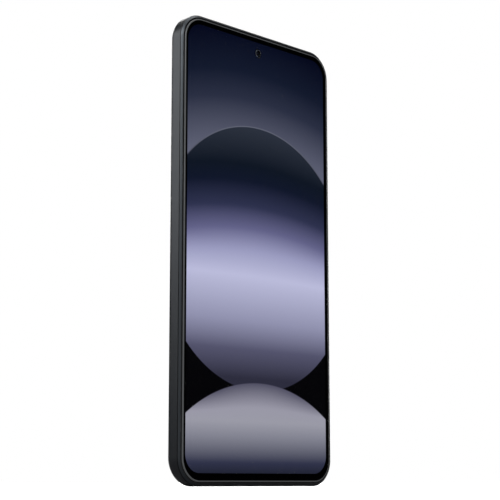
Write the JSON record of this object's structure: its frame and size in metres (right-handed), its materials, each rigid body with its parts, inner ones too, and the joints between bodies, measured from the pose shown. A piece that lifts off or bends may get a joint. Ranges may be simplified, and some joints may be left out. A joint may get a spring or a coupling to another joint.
{
  "type": "smartphone",
  "caption": "Slim bar-shaped smartphone with a flat lit screen, flat satin sides, a raised rear camera island, side keys and a card tray in the top edge.",
  "frame": {"origin": "middle of the bottom edge, at mid-thickness of the body without its camera island", "axes": "+Z from the bottom edge to the top edge, -Y out of the screen, +Y out of the back, +X to the right side (the keys) as the screen is looked at"},
  "size_m": [0.0761, 0.01, 0.1624],
  "materials": {
    "frame_graphite": "satin anodised graphite, fine blasted grain",
    "die_cast_alloy": "die-cast, matt",
    "back_graphite": "matt graphite with a soft sheen",
    "cover_glass": "polished",
    "display_black": "lit display under the glass",
    "foam_black": "foam tape",
    "mesh_dark": "blackened mesh",
    "camera_black": "matt black",
    "island_graphite": "satin",
    "ring_metal": "turned, polished edge",
    "led_phosphor": "phosphor",
    "flash_diffuser": "frosted clear",
    "flex_amber": "polyimide film",
    "steel": "rolled sheet",
    "seal_red": "silicone",
    "board_green": "solder mask",
    "connector_cream": "moulded",
    "moulded_black": "moulded, fine texture",
    "graphite_film": "graphite film",
    "battery_wrap": "foil pouch with black wrap",
    "adhesive_white": "stretch-release tape",
    "cable_black": "extruded jacket",
    "sensor_dark": "coated sensor",
    "mic_can": "plated can",
    "cone_film": "thin film",
    "tungsten": "sintered"
  },
  "bodies": {
    "phone": {"side_frame": "frame_graphite", "mid_plate": "die_cast_alloy", "back_cover": "back_graphite", "display_glass": "cover_glass", "display_panel": "display_black", "display_gasket": "foam_black", "back_gasket": "foam_black", "earpiece_mesh": "mesh_dark", "front_camera": "camera_black", "camera_island": "island_graphite", "lens_rings": "ring_metal", "lens_windows": "cover_glass", "main_camera": "camera_black", "wide_camera": "camera_black", "close_camera": "camera_black", "flash_led": "led_phosphor", "flash_lens": "flash_diffuser", "side_key_flex": "flex_amber", "side_key_bracket": "steel", "sim_seal": "seal_red", "sim_reader": "steel", "main_board": "board_green", "back_shields": "steel", "front_shields": "steel", "board_connectors": "connector_cream", "upper_bracket": "moulded_black", "graphite_sheet": "graphite_film", "battery": "battery_wrap", "battery_adhesive": "adhesive_white", "main_flex": "flex_amber", "display_flex": "flex_amber", "coax_cable": "cable_black", "fingerprint_sensor": "sensor_dark", "top_mic": "mic_can", "sub_board": "board_green", "main_mic": "mic_can", "usb_port": "steel", "usb_tongue": "moulded_black", "usb_seal": "foam_black", "lower_bracket": "moulded_black", "speaker_box": "moulded_black", "speaker_mesh": "mesh_dark", "earpiece_box": "moulded_black", "haptic_case": "steel", "haptic_springs": "steel", "screws": "steel"},
    "power_key": {"power_button": "frame_graphite"},
    "volume_key": {"volume_rocker": "frame_graphite"},
    "card_tray": {"sim_tray": "frame_graphite"},
    "eject_rod_body": {"eject_rod": "steel"},
    "eject_lever_body": {"eject_lever": "steel"},
    "focus_lens": {"main_lens_barrel": "camera_black"},
    "haptic_weight": {"haptic_mass": "tungsten"},
    "speaker_cone": {"speaker_diaphragm": "cone_film"},
    "earpiece_cone": {"earpiece_diaphragm": "cone_film"}
  },
  "joints": [
    {"name": "power_press", "type": "slide", "parent": "phone", "child": "power_key", "axis": [-1, 0, 0], "range_m": [0, 0.00025], "stiffness_N_per_m": 1500},
    {"name": "volume_rock", "type": "hinge", "parent": "phone", "child": "volume_key", "pos_m": [0.0364, -0.0011, 0.121], "axis": [0, 1, 0], "range_deg": [-0.8, 0.8], "stiffness_Nm_per_rad": 0.3},
    {"name": "tray_slide", "type": "slide", "parent": "phone", "child": "card_tray", "axis": [0, 0, 1], "range_m": [0, 0.022]},
    {"name": "eject_push", "type": "slide", "parent": "phone", "child": "eject_rod_body", "axis": [0, 0, -1], "range_m": [0, 0.0008]},
    {"name": "eject_lever_turn", "type": "hinge", "parent": "phone", "child": "eject_lever_body", "pos_m": [-0.01665, -0.0009, 0.1394], "axis": [0, 1, 0], "range_deg": [0, 11.5]},
    {"name": "focus_move", "type": "slide", "parent": "phone", "child": "focus_lens", "axis": [0, 1, 0], "range_m": [0, 0.0003], "stiffness_N_per_m": 50},
    {"name": "haptic_move", "type": "slide", "parent": "phone", "child": "haptic_weight", "axis": [1, 0, 0], "range_m": [-0.0004, 0.0004], "stiffness_N_per_m": 1200},
    {"name": "speaker_move", "type": "slide", "parent": "phone", "child": "speaker_cone", "axis": [0, 1, 0], "range_m": [-0.00025, 0.00025], "stiffness_N_per_m": 800},
    {"name": "earpiece_move", "type": "slide", "parent": "phone", "child": "earpiece_cone", "axis": [0, 1, 0], "range_m": [-0.00015, 0.00015], "stiffness_N_per_m": 200}
  ],
  "couplings": [
    {"joint": "eject_lever_turn", "follows": "eject_push", "rad_per_m": 250}
  ]
}
